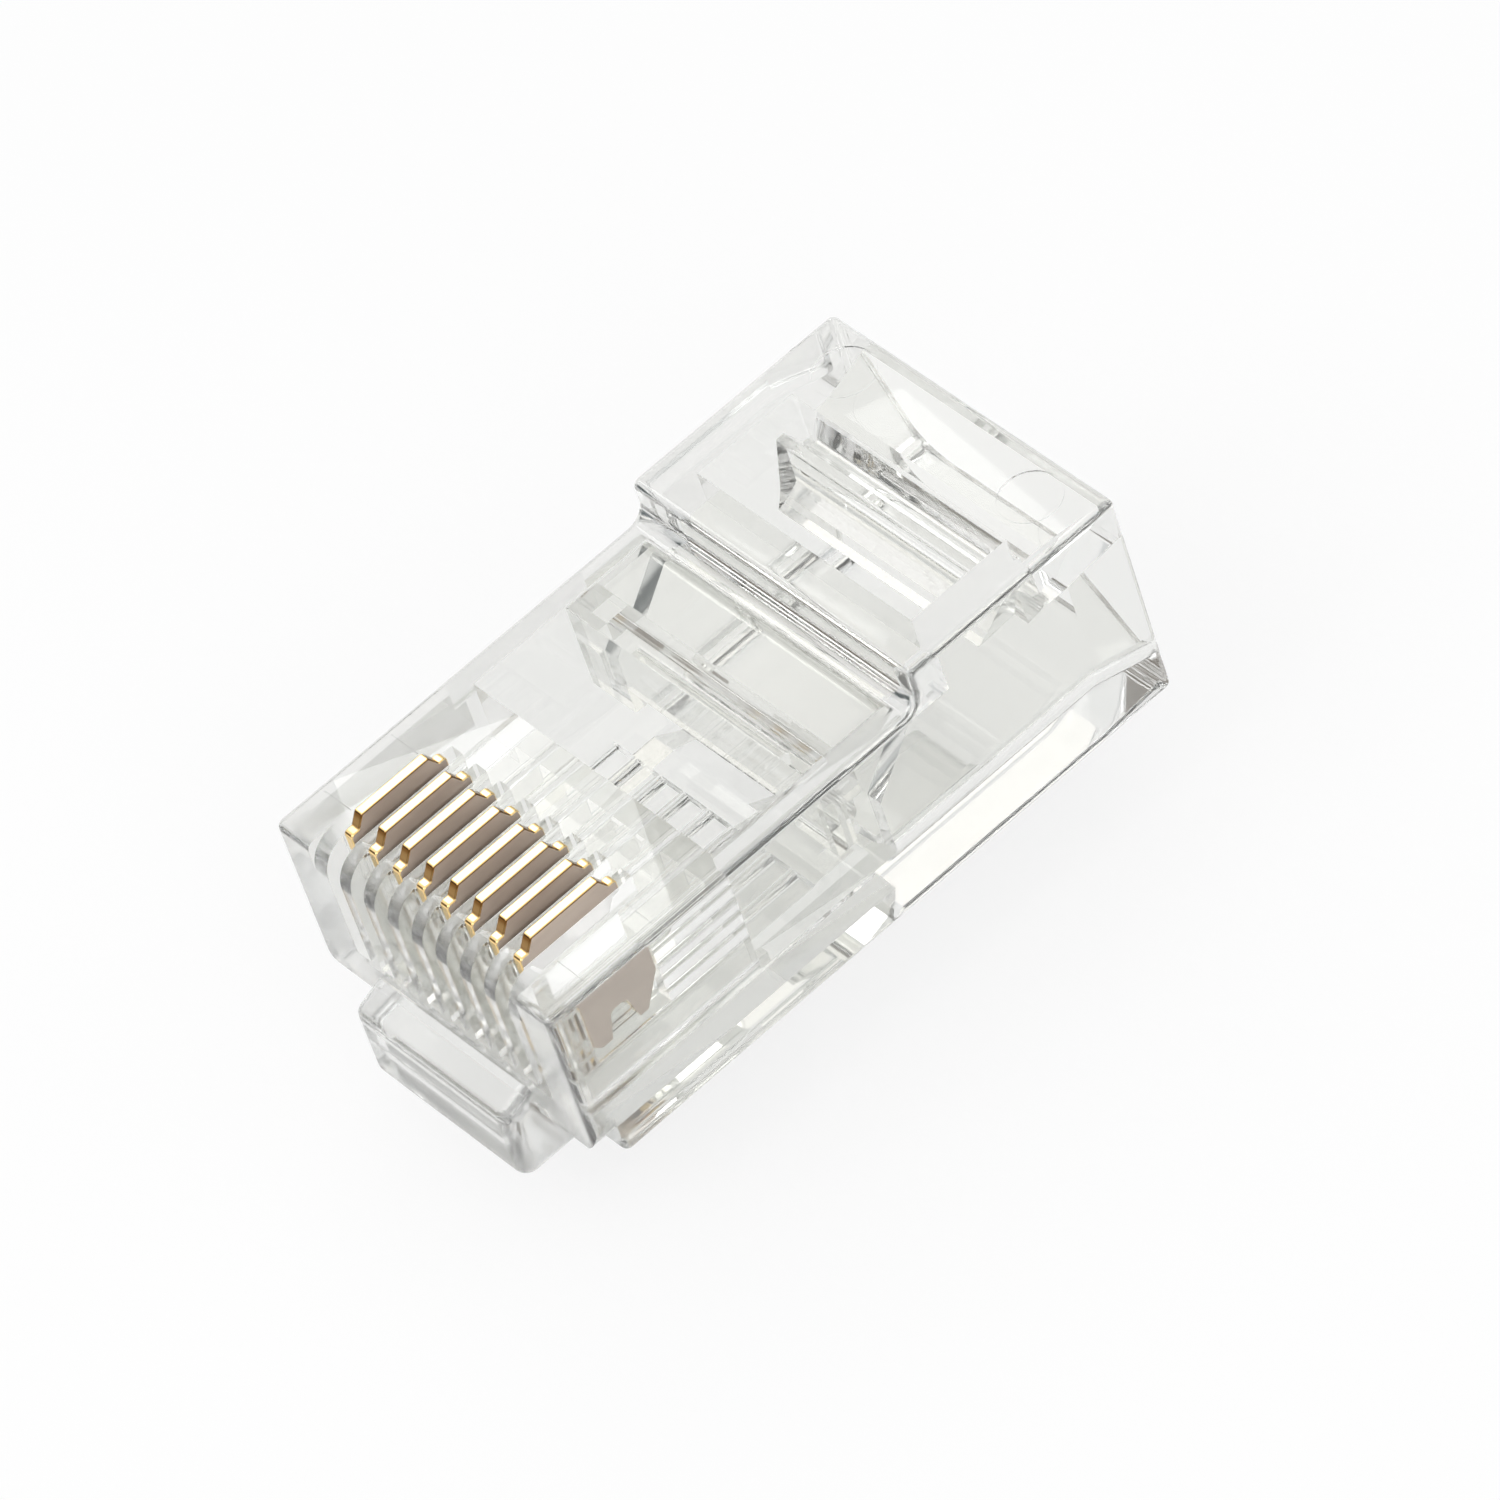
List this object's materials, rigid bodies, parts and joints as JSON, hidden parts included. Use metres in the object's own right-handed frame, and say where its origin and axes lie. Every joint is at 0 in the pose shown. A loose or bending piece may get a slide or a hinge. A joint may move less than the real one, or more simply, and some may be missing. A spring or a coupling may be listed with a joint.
{
  "type": "modular plug",
  "caption": "Clear modular network plug with gold-plated blade contacts, a sprung latch, a wire clamp and a jacket clamp, before it is crimped on a cable.",
  "frame": {"origin": "on the plane of the nose face, midway between the side walls and level with the underside of the side rails", "axes": "+Y from the nose to the cable entry, +Z towards the contacts, +X across the plug, to the right when it is seen from the nose end with the contacts up and +Y pointing away"},
  "size_m": [0.0116, 0.0225, 0.0116],
  "materials": {
    "clear_plastic": "polished clear polycarbonate",
    "contact_gold": "gold-plated phosphor bronze, bright"
  },
  "bodies": {
    "housing": {"housing": "clear_plastic"},
    "wire_clamp": {"wire_clamp": "clear_plastic"},
    "jacket_clamp": {"jacket_clamp": "clear_plastic"},
    "latch_lever": {"latch_lever": "clear_plastic"},
    "contact_1": {"contact_1": "contact_gold"},
    "contact_2": {"contact_2": "contact_gold"},
    "contact_3": {"contact_3": "contact_gold"},
    "contact_4": {"contact_4": "contact_gold"},
    "contact_5": {"contact_5": "contact_gold"},
    "contact_6": {"contact_6": "contact_gold"},
    "contact_7": {"contact_7": "contact_gold"},
    "contact_8": {"contact_8": "contact_gold"}
  },
  "joints": [
    {"name": "latch_press", "type": "hinge", "parent": "housing", "child": "latch_lever", "pos_m": [0, 0.0016, -0.00068], "axis": [1, 0, 0], "range_deg": [0, 10], "stiffness_Nm_per_rad": 0.15},
    {"name": "wire_clamp_press", "type": "hinge", "parent": "housing", "child": "wire_clamp", "pos_m": [0, 0.01295, 0.00613], "axis": [1, 0, 0], "range_deg": [0, 15]},
    {"name": "jacket_clamp_press", "type": "hinge", "parent": "housing", "child": "jacket_clamp", "pos_m": [0, 0.01845, 0.00572], "axis": [1, 0, 0], "range_deg": [0, 35]},
    {"name": "contact_1_crimp", "type": "slide", "parent": "housing", "child": "contact_1", "axis": [0, 0, -1], "range_m": [0, 0.001]},
    {"name": "contact_2_crimp", "type": "slide", "parent": "housing", "child": "contact_2", "axis": [0, 0, -1], "range_m": [0, 0.001]},
    {"name": "contact_3_crimp", "type": "slide", "parent": "housing", "child": "contact_3", "axis": [0, 0, -1], "range_m": [0, 0.001]},
    {"name": "contact_4_crimp", "type": "slide", "parent": "housing", "child": "contact_4", "axis": [0, 0, -1], "range_m": [0, 0.001]},
    {"name": "contact_5_crimp", "type": "slide", "parent": "housing", "child": "contact_5", "axis": [0, 0, -1], "range_m": [0, 0.001]},
    {"name": "contact_6_crimp", "type": "slide", "parent": "housing", "child": "contact_6", "axis": [0, 0, -1], "range_m": [0, 0.001]},
    {"name": "contact_7_crimp", "type": "slide", "parent": "housing", "child": "contact_7", "axis": [0, 0, -1], "range_m": [0, 0.001]},
    {"name": "contact_8_crimp", "type": "slide", "parent": "housing", "child": "contact_8", "axis": [0, 0, -1], "range_m": [0, 0.001]}
  ]
}
